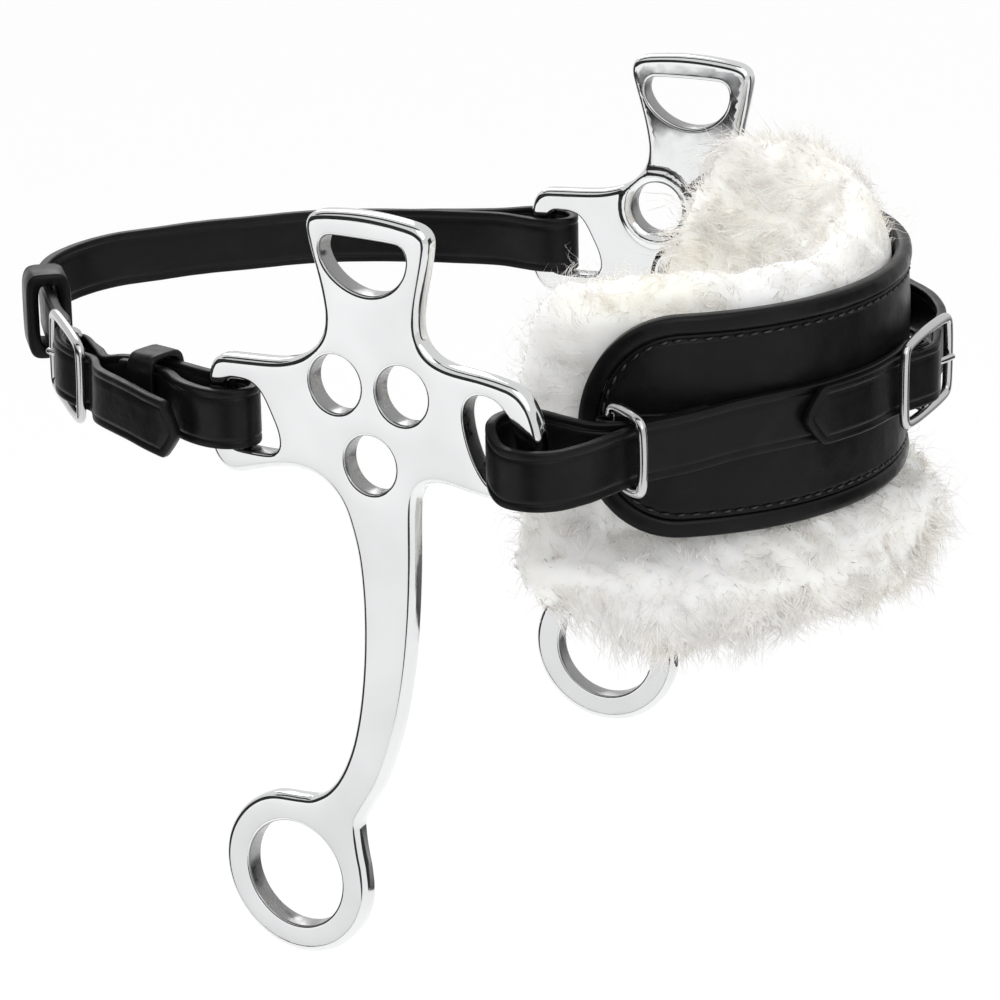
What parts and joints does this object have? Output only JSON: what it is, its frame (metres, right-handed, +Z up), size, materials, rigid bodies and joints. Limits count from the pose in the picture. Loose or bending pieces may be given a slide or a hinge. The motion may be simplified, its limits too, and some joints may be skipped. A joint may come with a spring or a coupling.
{
  "type": "bitless hackamore noseband",
  "caption": "Bitless hackamore: fleece-lined leather nose pad on a buckled strap, joined by steel cheek plates with shanks and rein rings to a buckled curb strap.",
  "frame": {"origin": "middle of the head opening, midway between the two cheek plates, level with their arms", "axes": "+X to the horse's left, +Y to the rear, towards the jaw, +Z up along the cheek plates, towards the headstall slots"},
  "size_m": [0.2116, 0.262, 0.2045],
  "materials": {
    "plate_steel": "mirror-polished stainless look with softly rounded edges",
    "ring_steel": "polished wire",
    "buckle_steel": "polished wire",
    "pad_leather": "black pebbled leather, soft sheen, stitched",
    "binding_leather": "rolled black leather edge",
    "tab_leather": "thin black leather",
    "strap_leather": "smooth black strap leather with creased edges",
    "keeper_leather": "black leather loops",
    "fleece": "cream sheepskin, long soft pile"
  },
  "bodies": {
    "noseband": {"pad_leather": "pad_leather", "pad_binding": "binding_leather", "pad_fleece": "fleece", "right_ring_tab": "tab_leather", "left_ring_tab": "tab_leather", "nose_strap_right": "strap_leather", "nose_strap_left": "strap_leather"},
    "right_ring": {"right_side_ring": "ring_steel"},
    "left_ring": {"left_side_ring": "ring_steel"},
    "nose_buckle": {"nose_buckle_frame": "buckle_steel"},
    "nose_prong": {"nose_buckle_prong": "buckle_steel"},
    "right_cheek": {"right_cheek_plate": "plate_steel"},
    "left_cheek": {"left_cheek_plate": "plate_steel"},
    "curb": {"curb_long_strap": "strap_leather", "curb_buckle_strap": "strap_leather", "curb_chape_keeper": "keeper_leather"},
    "curb_keeper": {"curb_wide_keeper": "keeper_leather"},
    "curb_buckle": {"curb_buckle_frame": "buckle_steel"},
    "curb_prong": {"curb_buckle_prong": "buckle_steel"}
  },
  "joints": [
    {"name": "right_lever", "type": "hinge", "parent": "noseband", "child": "right_cheek", "pos_m": [-0.0913, -0.04679, -0.003], "axis": [1, 0, 0], "range_deg": [-8, 12]},
    {"name": "left_lever", "type": "hinge", "parent": "noseband", "child": "left_cheek", "pos_m": [0.0913, -0.04679, -0.003], "axis": [1, 0, 0], "range_deg": [-8, 12]},
    {"name": "curb_swing", "type": "hinge", "parent": "right_cheek", "child": "curb", "pos_m": [-0.0913, 0.04669, -0.005], "axis": [1, 0, 0], "range_deg": [-6, 3.5]},
    {"name": "keeper_slide", "type": "slide", "parent": "curb", "child": "curb_keeper", "axis": [0.7604, 0.6494, 0], "range_m": [-0.003, 0.003]},
    {"name": "curb_buckle_swivel", "type": "hinge", "parent": "curb", "child": "curb_buckle", "pos_m": [-0.06971, 0.1029, -0.0062], "axis": [-0.0663, -0.0742, 0.995], "range_deg": [-2, 2]},
    {"name": "curb_prong_lift", "type": "hinge", "parent": "curb_buckle", "child": "curb_prong", "pos_m": [-0.06971, 0.1029, -0.0062], "axis": [-0.0663, -0.0742, 0.995], "range_deg": [0, 6]},
    {"name": "nose_buckle_swivel", "type": "hinge", "parent": "noseband", "child": "nose_buckle", "pos_m": [0.01089, -0.1024, -0.0032], "axis": [0, 0, -1], "range_deg": [-2, 0.6]},
    {"name": "nose_prong_lift", "type": "hinge", "parent": "nose_buckle", "child": "nose_prong", "pos_m": [0.01089, -0.1024, -0.0032], "axis": [0, 0, -1], "range_deg": [0, 6]},
    {"name": "right_ring_hinge", "type": "hinge", "parent": "noseband", "child": "right_ring", "pos_m": [-0.06983, -0.05481, -0.0049], "axis": [0, 0, 1], "range_deg": [-3, 3]},
    {"name": "left_ring_hinge", "type": "hinge", "parent": "noseband", "child": "left_ring", "pos_m": [0.06983, -0.05481, -0.0049], "axis": [0, 0, 1], "range_deg": [-3, 3]}
  ],
  "couplings": [
    {"joint": "left_lever", "follows": "right_lever", "ratio": 1}
  ]
}
